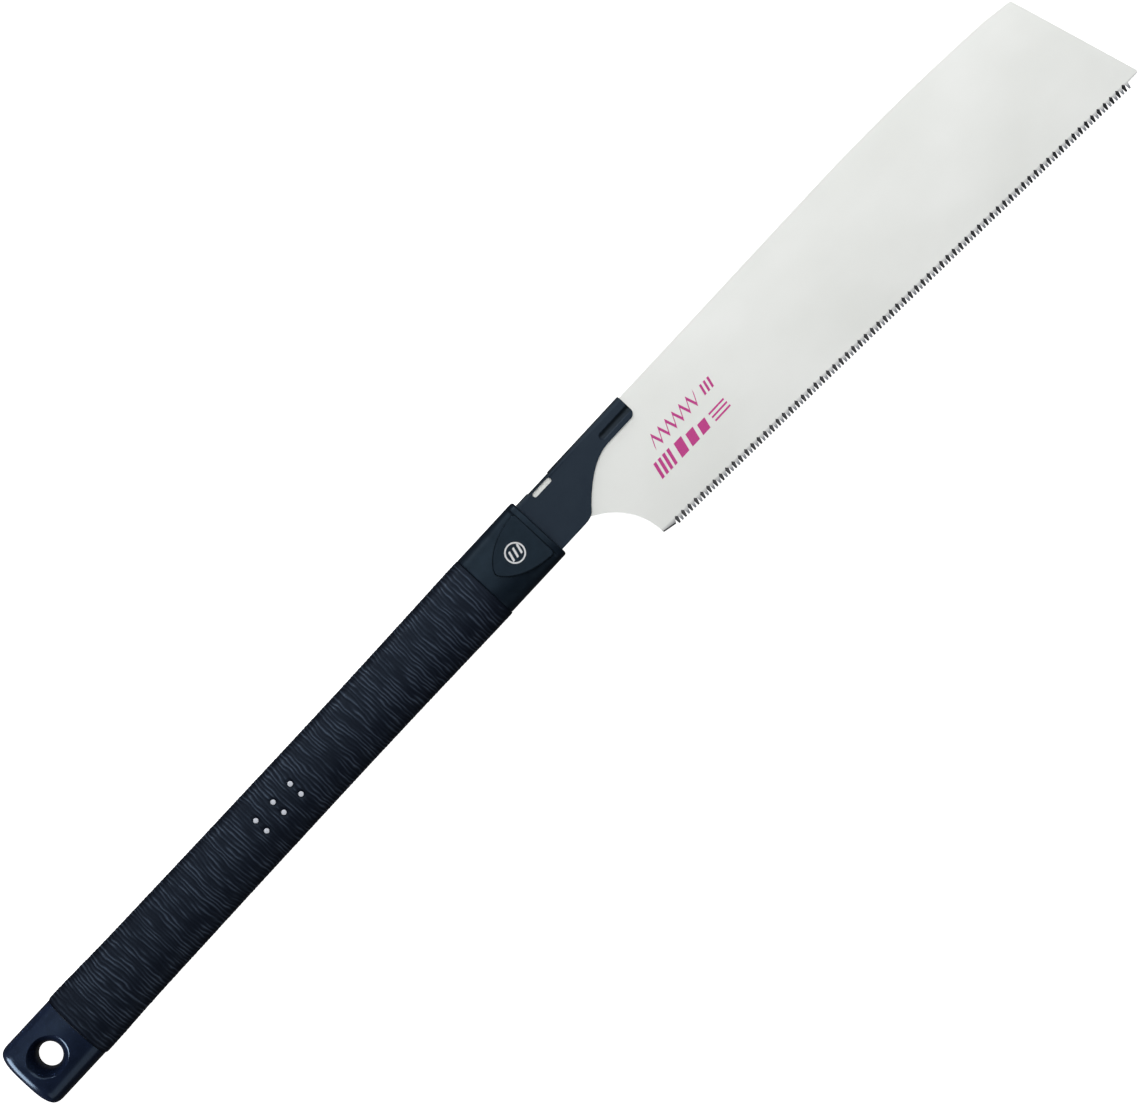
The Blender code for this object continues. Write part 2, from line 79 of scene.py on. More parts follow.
# Blade, in mm
BLADE_HALF = 0.3
SPINE_Y = 12.85
SPINE_ARC_X = 492.0
SPINE_ARC_R = 1080.0
SPINE_ARC_END_X = 592.0
TOE_TOP = Vector((605.4, 6.1))
TOE_LOW = Vector((620.35, -52.9))
TOE_CORNER_R = 1.2
TOOTH_PITCH = 1.808
TOOTH_COUNT = 144
TOOTH_DEPTH = 2.4
TOOTH_LEAD = 0.35
TOOTH_ANGLE = math.radians(-3.12)
TOOTH_SET = 0.14
FACET_RISE = 1.15
TIP_LAND = 0.8
TIP_BEVEL = 0.35
HEEL_BEVEL = 0.65
FIRST_GULLET = Vector((353.9, -38.45))
HEEL_CENTRE = Vector((318.7, -37.7))
HEEL_R = 28.1
HEEL_ANGLES = (math.radians(-1), math.radians(55))
HOOK = Vector((300.0, 1.0))
HOOK_NOTCH_R = 2.65
HOOK_HOLE_R = 2.55
TANG_END_X = 291.5
TANG_TOP_Y = 6.0
TANG_LOW_Y = -6.1

# Blade holder, in mm
HOLDER_HALF = 1.45
HOLDER_GAP = 0.45
FOLD_REACH = 2.3
HOLDER_TOP_Y = 13.7
HOLDER_LOW_Y = -12.7
NOSE_X = 374.8
NOSE_LOW_Y = 3.4
TANG_X = 252.0
TANG_HALF = 7.0
SHOULDER_X = 286.0
WINDOW_X = (320.9, 331.2)
WINDOW_Y = (9.8, 12.0)
RIB_X = 356.0
RIB_Y = 7.1
RIB_R = 2.7
RIB_DEPTH = 0.6
CREASE_X = (320.0, 332.0)
CREASE_Y = (12.4, 13.3)
TANG_PINS = (262.0, 276.0)
TANG_PIN_HOLE_R = 2.1

# Handle, in mm
FERRULE_REAR = 280.0
FERRULE_FRONT = 313.1
FERRULE_HALF = (15.45, 10.8)
FERRULE_Y = 0.35
LIP_X = 310.1
LIP_RISE = 0.5
SHIELD_FRONT_X = 310.0
SHIELD_POINT_X = 286.8
SHIELD_Y = (-11.4, 12.0)
SHIELD_EDGE = 0.32
SHIELD_FLOOR = 8.9
RECESS_FLOOR = 8.8
RECESS_GAP = 0.26
PAD_TOP = 11.55
GRIP_X = (32.4, 279.98)
WRINKLE_PITCH = 1.6
WRINKLE_HEIGHT = 0.15
BUTT_HALF = (15.95, 10.8)
SPIGOT_HALF = (12.0, 7.4)
BORE_HALF = (14.15, 9.55)
HANG_HOLE = (16.5, 0.3)
HANG_THROAT_R = 5.25
HANG_MOUTH_R = 8.9
PIP_X = (145.7, 156.1, 166.4)
PIP_Y = (3.6, -2.5)
PIP_R = 1.12
PIP_GAP = 0.05
PIP_HOLE_SIDES = 28  # some other counts leave an open seam once the sleeve is triangulated
GRIP_TOP_Z = 11.6
PIP_TOP = 10.62

INK_HEIGHT = 0.02  # how far the prints stand on the surface, in mm

# Camera, in metres and degrees
CAMERA_PLACE = (0.31382, -0.01575, 1.45)
CAMERA_TURN = -47.1
CAMERA_LENS = 110.9

# Each soft light: name, place, what it points at, size and power
LIGHTS = (
    ("overhead", (0.8, 0.86, 2.1), (0.8, 0.86, 0), (2.0, 1.96), 26),
    ("side_key", (0.5, 2.0, 1.05), (0.5, 0, 0), (2.2, 1.6), 13),
    ("handle_top", (-0.42, 1.0, 2.1), (-0.42, 1.0, 0), (0.45, 1.7), 4.2),
    ("edge_strip", (0.28, 2.0, 0.5), (0.05, 0, 0), (0.45, 0.15), 6.4),
    ("end_light", (-0.84, 0.25, 0.27), (-0.3, 0, 0), (0.6, 0.42), 14),
    ("toe_light", (1.4, 0.3, 1.2), (0, 0, 0), (0.5, 0.8), 3),
    ("side_fill", (-1.0, -1.7, 0.9), (-0.3, 0, 0), (1.1, 1.2), 4.4),
)
WORLD_LIGHT = 0.05


# Outlines


def arc(centre, radius, start, end, steps):
    """Points on an arc, both ends included, with angles in radians."""
    angles = [start + (end - start) * i / steps for i in range(steps + 1)]
    return [centre + radius * Vector((math.cos(a), math.sin(a))) for a in angles]


def rounded(corners, steps=6):
    """A closed outline through (x, y, radius) corners, each rounded by its radius."""
    points = []
    for i, (x, y, radius) in enumerate(corners):
        here = Vector((x, y))
        if radius == 0:
            points.append(here)
            continue
        back = (Vector(corners[i - 1][:2]) - here).normalized()
        ahead = (Vector(corners[(i + 1) % len(corners)][:2]) - here).normalized()
        half = back.angle(ahead) / 2
        centre = here + (back + ahead).normalized() * radius / math.sin(half)
        reach = radius / math.tan(half)
        start = here + back * reach - centre
        turn = start.angle_signed(here + ahead * reach - centre)
        first = math.atan2(start.y, start.x)
        points += arc(centre, radius, first, first - turn, steps)
    return points


def bezier(p0, p1, p2, p3, steps):
    """Points on a cubic Bezier curve through four control points, both ends included."""
    p0, p1, p2, p3 = (Vector(p) for p in (p0, p1, p2, p3))
    found = []
    for i in range(steps + 1):
        t = i / steps
        s = 1 - t
        found.append(p0 * s**3 + p1 * 3 * s * s * t + p2 * 3 * s * t * t + p3 * t**3)
    return found


def oval(half_y, half_z, power, count):
    """A superellipse in (y, z), with its points evenly spaced along it."""
    angle = np.linspace(0, 2 * np.pi, 1441)
    c, s = np.cos(angle), np.sin(angle)
    y = np.sign(c) * np.abs(c) ** (2 / power) * half_y
    z = np.sign(s) * np.abs(s) ** (2 / power) * half_z
    run = np.concatenate([[0], np.cumsum(np.hypot(np.diff(y), np.diff(z)))])
    wanted = (np.arange(count) + 0.5) / count * run[-1]
    return np.stack([np.interp(wanted, run, y), np.interp(wanted, run, z)], axis=1)


def through(xs, ys, x):
    """A smooth curve through (xs, ys), read at x."""
    xs, ys, x = np.array(xs, float), np.array(ys, float), np.asarray(x, float)
    slope = np.gradient(ys, xs)
    i = np.clip(np.searchsorted(xs, x) - 1, 0, len(xs) - 2)
    width = xs[i + 1] - xs[i]
    t = np.clip((x - xs[i]) / width, 0, 1)
    return (
        ys[i] * (1 + 2 * t) * (1 - t) ** 2
        + slope[i] * width * t * (1 - t) ** 2
        + ys[i + 1] * t * t * (3 - 2 * t)
        + slope[i + 1] * width * t * t * (t - 1)
    )


# Meshes


def mesh_object(name, points, faces):
    """A mesh object from points in mm in the saw's frame, with its faces pointing out."""
    mesh = bpy.data.meshes.new(name)
    placed = np.asarray(points, float) * MM + np.array(ORIGIN)
    mesh.from_pydata(placed.tolist(), [], faces)
    shape = bmesh.new()
    shape.from_mesh(mesh)
    bmesh.ops.recalc_face_normals(shape, faces=shape.faces)
    shape.to_mesh(mesh)
    shape.free()
    obj = bpy.data.objects.new(name, mesh)
    bpy.context.scene.collection.objects.link(obj)
    return obj


def baked(obj):
    """The object with its modifiers applied, or made a mesh if it was a curve."""
    bpy.context.view_layer.update()
    graph = bpy.context.evaluated_depsgraph_get()
    mesh = bpy.data.meshes.new_from_object(obj.evaluated_get(graph))
    name = obj.name
    made = bpy.data.objects.new(name + "_baked", mesh)
    bpy.context.scene.collection.objects.link(made)
    mesh.transform(obj.matrix_world)
    bpy.data.objects.remove(obj)
    made.name = name
    return made


def welded(obj):
    """The object with its doubled points merged and its faces pointing out."""
    shape = bmesh.new()
    shape.from_mesh(obj.data)
    bmesh.ops.remove_doubles(shape, verts=shape.verts, dist=1e-6)
    bmesh.ops.recalc_face_normals(shape, faces=shape.faces)
    shape.to_mesh(obj.data)
    shape.free()
    return obj


def plate(name, outline, low, high, edge=0.0, steps=2):
    """A flat piece from a closed outline between two heights, its edges rounded by edge."""
    curve = bpy.data.curves.new(name, "CURVE")
    curve.dimensions = "2D"
    curve.fill_mode = "BOTH"
    curve.extrude = ((high - low) / 2 - edge) * MM
    curve.bevel_depth = edge * MM
    curve.bevel_resolution = steps
    curve.offset = -edge * MM
    spline = curve.splines.new("POLY")
    spline.points.add(len(outline) - 1)
    for point, place in zip(spline.points, outline):
        point.co = (place.x * MM, place.y * MM, 0, 1)
    spline.use_cyclic_u = True
    obj = bpy.data.objects.new(name, curve)
    bpy.context.scene.collection.objects.link(obj)
    obj.location = ORIGIN + Vector((0, 0, (low + high) / 2 * MM))
    return welded(baked(obj))


def box(name, low, high):
    """A box between two corners."""
    xs, ys, zs = zip(low, high)
    corners = [(x, y, z) for x in xs for y in ys for z in zs]
    faces = [(0, 1, 3, 2), (4, 6, 7, 5), (0, 4, 5, 1), (2, 3, 7, 6), (0, 2, 6, 4), (1, 5, 7, 3)]
    return mesh_object(name, corners, faces)


def turned(name, profile, centre, count, axis="Z"):
    """A closed profile of (radius, height) turned about an axis through centre."""
    points, faces = [], []
    rows = len(profile)
    for k in range(count):
        angle = 2 * math.pi * k / count
        for r, h in profile:
            a, b = r * math.cos(angle), r * math.sin(angle)
            offset = (a, b, h) if axis == "Z" else (h, a, b)
            points.append([centre[i] + offset[i] for i in range(3)])
    for k in range(count):
        here, there = k * rows, (k + 1) % count * rows
        for j in range(rows - 1):
            faces.append((here + j, there + j, there + j + 1, here + j + 1))
    obj = mesh_object(name, points, faces)
    return welded(obj)


def loft(name, stations, count):
    """Skins ovals given as (x, half height, half thickness, power, centre y), with end caps."""
    points, faces = [], []
    for x, half_y, half_z, power, centre_y in stations:
        section = oval(half_y, half_z, power, count)
        points += [(x, y + centre_y, z) for y, z in section]
    for row in range(len(stations) - 1):
        for i in range(count):
            j = (i + 1) % count
            a, b = row * count, (row + 1) * count
            faces.append((a + i, a + j, b + j, b + i))
    faces.append(tuple(range(count)))
    faces.append(tuple(range((len(stations) - 1) * count, len(stations) * count)))
    return mesh_object(name, points, faces)


def cut(obj, *cutters, operation="DIFFERENCE"):
    """Cuts the object with each cutter in turn and removes the cutters."""
    for cutter in cutters:
        modifier = obj.modifiers.new(cutter.name, "BOOLEAN")
        modifier.operation = operation
        modifier.object = cutter
    obj = baked(obj)
    for cutter in cutters:
        bpy.data.objects.remove(cutter)
    return obj


def soften(obj, width, angle=35, segments=2):
    """Rounds every edge that turns by more than angle."""
    bevel = obj.modifiers.new("edges", "BEVEL")
    bevel.width = width * MM
    bevel.segments = segments
    bevel.limit_method = "ANGLE"
    bevel.angle_limit = math.radians(angle)
    bevel.use_clamp_overlap = True
    return baked(obj)


def shade(obj, angle=30):
    """Smooth shading, except over edges that turn by more than angle."""
    obj.data.shade_smooth()
    obj.data.set_sharp_from_angle(angle=math.radians(angle))
    return obj


def flatten_faces(obj):
    """Flat shading on the faces that lie flat, so that their rounded edges don't shade them."""
    for polygon in obj.data.polygons:
        if abs(polygon.normal.z) > 0.9999:
            polygon.use_smooth = False


def finish_piece(obj, body, materials, nodes=()):
    """Gives a piece its materials, its body and the CAD nodes it stands for."""
    obj.data.materials.clear()
    for material in materials if isinstance(materials, (list, tuple)) else [materials]:
        obj.data.materials.append(material)
    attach(obj, body)
    if nodes:
        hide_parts(*nodes)
    return obj


# Materials


class Nodes:
    """A short way to write a material's node tree."""

    def __init__(self, name):
        self.material = bpy.data.materials.new(name)
        self.material.use_nodes = True
        self.tree = self.material.node_tree
        self.shader = self.tree.nodes["Principled BSDF"]

    def add(self, kind, **values):
        node = self.tree.nodes.new("ShaderNode" + kind)
        for key, value in values.items():
            setattr(node, key, value)
        return node

    def link(self, source, target):
        self.tree.links.new(source, target)

    def saw_place(self, scale=(1, 1, 1)):
        """Object coordinates in mm in the saw's frame, times scale."""
        place = self.add("TexCoord")
        shift = self.add("Mapping")
        shift.vector_type = "POINT"
        factors = [s / MM for s in scale]
        shift.inputs["Scale"].default_value = factors
        shift.inputs["Location"].default_value = [-ORIGIN[i] * factors[i] for i in range(3)]
        self.link(place.outputs["Object"], shift.inputs["Vector"])
        return shift.outputs["Vector"]

    def noise(self, scale, detail=4, roughness=0.5, distortion=0.0):
        texture = self.add("TexNoise")
        texture.inputs["Scale"].default_value = 1
        texture.inputs["Detail"].default_value = detail
        texture.inputs["Roughness"].default_value = roughness
        texture.inputs["Distortion"].default_value = distortion
        self.link(self.saw_place(scale), texture.inputs["Vector"])
        return texture.outputs["Fac"]

    def spread(self, value, low, high, to_low, to_high):
        """Maps a value from one range to another, held at the ends."""
        node = self.add("MapRange")
        node.inputs["From Min"].default_value = low
        node.inputs["From Max"].default_value = high
        node.inputs["To Min"].default_value = to_low
        node.inputs["To Max"].default_value = to_high
        self.link(value, node.inputs["Value"])
        return node.outputs["Result"]

    def ramp(self, value, *stops):
        """Colours along a value, from (position, colour) stops."""
        node = self.add("ValToRGB")
        elements = node.color_ramp.elements
        while len(elements) < len(stops):
            elements.new(0.5)
        for element, (position, colour) in zip(elements, stops):
            element.position = position
            element.color = (*colour, 1)
        self.link(value, node.inputs["Fac"])
        return node.outputs["Color"]

    def mix(self, factor, one, two):
        node = self.add("Mix", data_type="RGBA")
        for socket, value in ((0, factor), (6, one), (7, two)):
            if isinstance(value, bpy.types.NodeSocket):
                self.link(value, node.inputs[socket])
            else:
                node.inputs[socket].default_value = value if socket == 0 else (*value, 1)
        return node.outputs[2]

    def bump(self, height, distance, strength=1.0, below=None):
        node = self.add("Bump")
        node.inputs["Strength"].default_value = strength
        node.inputs["Distance"].default_value = distance * MM
        self.link(height, node.inputs["Height"])
        if below is not None:
            self.link(below, node.inputs["Normal"])
        return node.outputs["Normal"]

    def set(self, **values):
        """Sets or links the shader's own sockets."""
        for key, value in values.items():
            socket = self.shader.inputs[key.replace("_", " ")]
            if isinstance(value, bpy.types.NodeSocket):
                self.link(value, socket)
            else:
                socket.default_value = value
        return self.material


def steel_material():
    """Pale ground steel with fine lines across the blade."""
    n = Nodes("blade_steel")
    lines = n.noise((6.0, 0.12, 1.0), detail=3)
    cloud = n.noise((0.02, 0.03, 0.1), detail=2)
    tone = n.ramp(cloud, (0.3, (0.845, 0.862, 0.832)), (0.7, (0.905, 0.921, 0.896)))
    above = n.add("VectorMath", operation="DOT_PRODUCT")
    n.link(n.saw_place(), above.inputs[0])
    upward = Vector((-math.sin(TOOTH_ANGLE), math.cos(TOOTH_ANGLE), 0))
    above.inputs[1].default_value = upward
    root = upward.xy.dot(FIRST_GULLET)
    hardened = n.spread(above.outputs["Value"], root - 1.2, root + 1.0, 1.0, 0.0)
    n.set(
        Base_Color=n.mix(hardened, tone, (0.17, 0.18, 0.20)),
        Metallic=0.3,
        Roughness=n.spread(lines, 0.3, 0.7, 0.30, 0.38),
        Normal=n.bump(lines, 0.004),
    )
    return n.material


def tooth_material():
    """The ground facets of the teeth, darkened by hardening and most of all at the toe."""
    n = Nodes("tooth_facets")
    grain = n.noise((3.0, 3.0, 3.0), detail=2)
    dark = n.ramp(grain, (0.3, (0.040, 0.045, 0.050)), (0.7, (0.080, 0.086, 0.092)))
    along = n.add("SeparateXYZ")
    n.link(n.saw_place(), along.inputs[0])
    toward_heel = n.spread(along.outputs["X"], FIRST_GULLET.x, TOE_TOP.x, 0.75, 0.0)
    n.set(
        Base_Color=n.mix(toward_heel, dark, (0.20, 0.205, 0.21)),
        Metallic=0.4,
        Roughness=0.38,
    )
    return n.material


def dark_plastic(name, colour, roughness, tint, level):
    """Smooth blue-black moulded plastic with a faint mottle."""
    n = Nodes(name)
    mottle = n.noise((0.25, 0.25, 0.25), detail=3)
    fine = n.noise((5.0, 5.0, 5.0), detail=2)
    low = tuple(c * 0.85 for c in colour)
    high = tuple(c * 1.15 for c in colour)
    n.set(
        Base_Color=n.ramp(mottle, (0.35, low), (0.65, high)),
        Roughness=n.spread(fine, 0.3, 0.7, roughness - 0.03, roughness + 0.04),
        Specular_IOR_Level=level,
        Specular_Tint=(*tint, 1),
        Normal=n.bump(fine, 0.004, 0.5),
    )
    return n.material


def rubber_material():
    """Blue-black rubber with a painted highlight along the tops of its wrinkles and painted shade in
    the hollows.
    """
    n = Nodes("grip_rubber")
    fold = n.add("Attribute", attribute_name="fold").outputs["Fac"]
    strokes = n.noise((1.2, 0.13, 0.13), detail=4, roughness=0.55, distortion=0.2)
    grain = n.noise((4.0, 4.0, 4.0), detail=3)
    soft = n.bump(strokes, 0.10, 0.5)
    # Painted highlight and shade: where the fold is high, on the wrinkle tops, the colour is pale;
    # where it is low, in the hollows, the dimples round the markers and at the sleeve's ends, it is
    # dark.
    tone = n.ramp(
        fold,
        (0.05, (0.0035, 0.005, 0.011)),
        (0.45, (0.010, 0.0145, 0.025)),
        (1.0, (0.052, 0.070, 0.102)),
    )
    n.set(
        Base_Color=tone,
        Roughness=n.spread(fold, 0.1, 0.9, 0.52, 0.30),
        Specular_IOR_Level=0.24,
        Specular_Tint=(0.55, 0.74, 1.0, 1),
        Normal=n.bump(grain, 0.012, 0.6, soft),
    )
    return n.material


def paint_material():
    """Satin blue-black paint on the holder's steel, with painted shade wherever it lies sunk."""
    n = Nodes("holder_paint")
    cloud = n.noise((0.08, 0.1, 0.1), detail=2)
    orange_peel = n.noise((1.6, 1.6, 1.6), detail=2)
    face = n.ramp(cloud, (0.35, (0.009, 0.016, 0.028)), (0.65, (0.011, 0.019, 0.031)))
    # Painted shade: the paint turns near black wherever its surface lies below the sheet's outer
    # face, in the pressed groove, the crease over the window, the cut walls and partly on the rounded
    # edges.
    depth = n.add("SeparateXYZ")
    n.link(n.saw_place(), depth.inputs[0])
    height = n.add("Math", operation="ABSOLUTE")
    n.link(depth.outputs["Z"], height.inputs[0])
    groove_shade = n.spread(height.outputs[0], HOLDER_HALF - 0.5, HOLDER_HALF - 0.05, 1.0, 0.0)
    n.set(
        Base_Color=n.mix(groove_shade, face, (0.003, 0.005, 0.006)),
        Roughness=n.spread(orange_peel, 0.3, 0.7, 0.38, 0.46),
        Specular_IOR_Level=0.33,
        Specular_Tint=(0.6, 0.78, 1.0, 1),
        Normal=n.bump(orange_peel, 0.01, 0.4),
    )
    return n.material


def plain_material(name, colour, roughness, metallic=0.0, scale=2.0):
    """A near-even surface with a faint grain, for prints, pips and inner pieces."""
    n = Nodes(name)
    grain = n.noise((scale, scale, scale), detail=2)
    low = tuple(c * 0.92 for c in colour)
    n.set(
        Base_Color=n.ramp(grain, (0.3, low), (0.7, colour)),
        Metallic=metallic,
        Roughness=n.spread(grain, 0.3, 0.7, roughness - 0.04, roughness + 0.04),
    )
    return n.material


# The blade


def gullet(index):
    along = Vector((math.cos(TOOTH_ANGLE), math.sin(TOOTH_ANGLE)))
    return FIRST_GULLET + along * TOOTH_PITCH * index


def tip(index):
    down = Vector((math.sin(TOOTH_ANGLE), -math.cos(TOOTH_ANGLE)))
    return gullet(index + TOOTH_LEAD) + down * TOOTH_DEPTH


def blade_rim():
    """The blade's outline from the heel over the tang, the spine and the toe."""
    rear = rounded(
        [
            (HOOK.x - HOOK_NOTCH_R, HOOK.y, 0),
            (HOOK.x - HOOK_NOTCH_R, TANG_LOW_Y, 0.8),
            (TANG_END_X, TANG_LOW_Y, 2.5),
            (TANG_END_X, TANG_TOP_Y, 2.5),
            (309, TANG_TOP_Y, 0),
            (316.5, SPINE_Y, 0),
        ]
    )[1:]
    front = Vector((HOOK.x + HOOK_NOTCH_R, TANG_LOW_Y + 0.8))
    mouth = [front + Vector((0.8, -0.8)), front]
    hook = mouth + arc(HOOK, HOOK_NOTCH_R, 0, math.pi, 20) + rear
    centre = Vector((SPINE_ARC_X, SPINE_Y - SPINE_ARC_R))
    sweep = math.asin((SPINE_ARC_END_X - SPINE_ARC_X) / SPINE_ARC_R)
    spine = arc(centre, SPINE_ARC_R, math.pi / 2, math.pi / 2 - sweep, 40)
    toe = rounded(
        [
            (*spine[-1], 0),
            (*TOE_TOP, TOE_CORNER_R),
            (*TOE_LOW, TOE_CORNER_R),
            (*gullet(TOOTH_COUNT), 0),
        ]
    )[1:-1]
    heel = [FIRST_GULLET + Vector((-1.0, -1.55)), Vector((347.1, -38.7))]
    heel += arc(HEEL_CENTRE, HEEL_R, *HEEL_ANGLES, 60)
    under_holder = Vector((322.5, TANG_LOW_Y))
    return heel + [under_holder] + hook + spine + toe


class BladeMesh:
    """Gathers the blade's points and faces on both of its sides."""

    def __init__(self):
        self.points, self.faces, self.facets = [], [], []

    def point(self, place, side, bend=0.0):
        self.points.append((place.x, place.y, side * BLADE_HALF + bend))
        return len(self.points) - 1

    def face(self, *corners, facet=False):
        self.faces.append(corners)
        self.facets.append(facet)


def add_tooth(mesh, index, left, right, base):
    """One tooth, bent to one side and ground on the other. base collects its root points."""
    bend_side = 1 if index % 2 else -1
    ground = -bend_side
    land = (gullet(1) - gullet(0)).normalized() * TIP_LAND / 2
    lean = TOOTH_SET * (1 - TIP_BEVEL / TOOTH_DEPTH)
    peak = mesh.point(gullet(index + 0.5) + Vector((0, FACET_RISE)), ground)
    ground_tip = mesh.point(tip(index) + Vector((0, TIP_BEVEL)), ground, bend_side * lean)
    near, far = [mesh.point(tip(index) + s * land, bend_side, bend_side * TOOTH_SET) for s in (-1, 1)]
    mesh.face(left[bend_side], near, far, right[bend_side])
    mesh.face(peak, ground_tip, near, left[bend_side], facet=True)
    mesh.face(ground_tip, peak, right[bend_side], far, facet=True)
    mesh.face(near, ground_tip, far, facet=True)
    mesh.face(left[ground], peak, left[bend_side], facet=True)
    mesh.face(peak, right[ground], right[bend_side], facet=True)
    base[ground].append(peak)


def make_blade(steel, facets):
    mesh = BladeMesh()
    rim = blade_rim()
    loops = {side: [mesh.point(p, side) for p in rim] for side in (1, -1)}
    for i in (0, 1):
        x, y, z = mesh.points[loops[1][i]]
        mesh.points[loops[1][i]] = (x + 0.12 * HEEL_BEVEL, y + HEEL_BEVEL, z)
    for i in range(len(rim) - 1):
        mesh.face(loops[1][i], loops[1][i + 1], loops[-1][i + 1], loops[-1][i], facet=i == 0)
    roots = [{side: mesh.point(gullet(i), side) for side in (1, -1)} for i in range(TOOTH_COUNT + 1)]
    for end in (0, -1):
        mesh.face(loops[1][end], roots[end][1], roots[end][-1], loops[-1][end])
    base = {1: [roots[0][1]], -1: [roots[0][-1]]}
    for i in range(TOOTH_COUNT):
        add_tooth(mesh, i, roots[i], roots[i + 1], base)
        for side in (1, -1):
            base[side].append(roots[i + 1][side])
    for side in (1, -1):
        mesh.face(*loops[side], *reversed(base[side]))
    obj = mesh_object("saw_blade", mesh.points, mesh.faces)
    finish_piece(obj, "blade", [steel, facets], ["blade"])
    for polygon, facet in zip(obj.data.polygons, mesh.facets):
        polygon.material_index = int(facet)
    return obj


# The holder


def holder_outline():
    nose = rounded(
        [
            (NOSE_X - 20, NOSE_LOW_Y, 0),
            (NOSE_X, NOSE_LOW_Y, 2.7),
            (NOSE_X, HOLDER_TOP_Y, 0.5),
            (NOSE_X - 20, HOLDER_TOP_Y, 0),
        ],
        10,
    )[1:-1]
    front = bezier((335.0, -8.7), (342.6, -1.9), (350.5, NOSE_LOW_Y), (358.5, NOSE_LOW_Y), 36)
    corner = bezier((325, HOLDER_LOW_Y), (329, HOLDER_LOW_Y), (331, -12.6), (333, -10.8), 14)
    tang = [
        (SHOULDER_X + 4, HOLDER_TOP_Y),
        (SHOULDER_X, TANG_HALF),
        (TANG_X + 1.5, TANG_HALF),
        (TANG_X, TANG_HALF - 1.5),
        (TANG_X, 1.5 - TANG_HALF),
        (TANG_X + 1.5, -TANG_HALF),
        (SHOULDER_X, -TANG_HALF),
        (SHOULDER_X + 4, HOLDER_LOW_Y),
    ]
    return nose + [Vector(p) for p in tang] + corner + front


def fold_bar():
    """A bar along X with the round top that the sheet has where it is folded."""
    low = HOLDER_LOW_Y - 5
    turn = arc(Vector((0, 0)), 1, -math.pi / 2, math.pi / 2, 24)
    top = [(HOLDER_TOP_Y + FOLD_REACH * (p.x - 1), HOLDER_HALF * p.y) for p in turn]
    outline = [(low, -HOLDER_HALF)] + top + [(low, HOLDER_HALF)]
    count = len(outline)
    points = [(x, y, z) for x in (TANG_X - 5, NOSE_X + 5) for y, z in outline]
    faces = [(i, (i + 1) % count, (i + 1) % count + count, i + count) for i in range(count)]
    faces += [tuple(range(count)), tuple(range(count, 2 * count))]
    return mesh_object("fold_bar", points, faces)


def window_outline():
    (x0, x1), (y0, y1) = WINDOW_X, WINDOW_Y
    r, middle = (y1 - y0) / 2, (y0 + y1) / 2
    right = arc(Vector((x1 - r, middle)), r, -math.pi / 2, math.pi / 2, 20)
    left = arc(Vector((x0 + r, middle)), r, math.pi / 2, 1.5 * math.pi, 20)
    return right + left


def rib_cutter(side):
    """A capsule along X whose rounded rear end starts the pressed groove."""
    height = side * (HOLDER_HALF + RIB_R - RIB_DEPTH)
    quarter = [math.pi / 2 * i / 8 for i in range(9)]
    profile = [(RIB_R * math.sin(a), -RIB_R * math.cos(a)) for a in quarter]
    profile += [(RIB_R, NOSE_X + 3 - RIB_X - RIB_R), (0, NOSE_X + 3 - RIB_X - RIB_R)]
    return turned(f"rib_{side}", profile, (RIB_X + RIB_R, RIB_Y, height), 48, "X")


def round_cutter(name, x, y, radius, half_length, count=32):
    profile = [(0, -half_length), (radius, -half_length), (radius, half_length), (0, half_length)]
    return turned(name, profile, (x, y, 0), count)


def make_holder(paint):
    obj = plate("holder_sheet", holder_outline(), -HOLDER_HALF - 1, HOLDER_HALF + 1)
    obj = cut(obj, fold_bar(), operation="INTERSECT")
    slot = box(
        "slot",
        (TANG_X - 5, HOLDER_LOW_Y - 9, -HOLDER_GAP),
        (NOSE_X + 5, HOLDER_TOP_Y - 0.8, HOLDER_GAP),
    )
    window = plate("window", window_outline(), -3, 3)
    crease = box("crease", (CREASE_X[0], CREASE_Y[0], 0.55), (CREASE_X[1], HOLDER_TOP_Y + 1, 3))
    notch = box("crease_top", (CREASE_X[0], CREASE_Y[1], -3), (CREASE_X[1], HOLDER_TOP_Y + 1, 3))
    pins = [round_cutter(f"tang_{x}", x, 0, TANG_PIN_HOLE_R, 5) for x in TANG_PINS]
    hook = round_cutter("hook", HOOK.x, HOOK.y, HOOK_HOLE_R, 5)
    obj = cut(obj, slot, window, crease, notch, rib_cutter(1), rib_cutter(-1), hook, *pins)
    obj = soften(obj, 0.3, 38)
    shade(obj, 40)
    flatten_faces(obj)
    return finish_piece(obj, "handle", paint, ["blade_holder"])


# The ferrule and its shields


def shield_outline(grow=0.0, steps=40):
    """A shield with its point to the rear, larger all round by grow."""
    front_x = SHIELD_FRONT_X + grow
    point_x = SHIELD_POINT_X - grow
    low_y = SHIELD_Y[0] - grow
    top_y = SHIELD_Y[1] + grow
    middle = (top_y + low_y) / 2
    nose = Vector((point_x, middle))
    shoulder = nose + Vector((0.9, 2.2))
    upper = bezier(
        (front_x - 1.0, top_y - 0.1),
        (301.0, top_y - 0.7),
        (292.8 - grow, middle + 8.4 + grow),
        shoulder,
        steps,
    )
    upper += bezier(shoulder, shoulder.lerp(nose, 0.4), nose + Vector((0, 0.8)), nose, 6)[1:]
    lower = [Vector((p.x, 2 * middle - p.y)) for p in upper[:-1]]
    front = [Vector((front_x, low_y + 1.1)), Vector((front_x, top_y - 1.1))]
    return upper + lower[::-1] + front


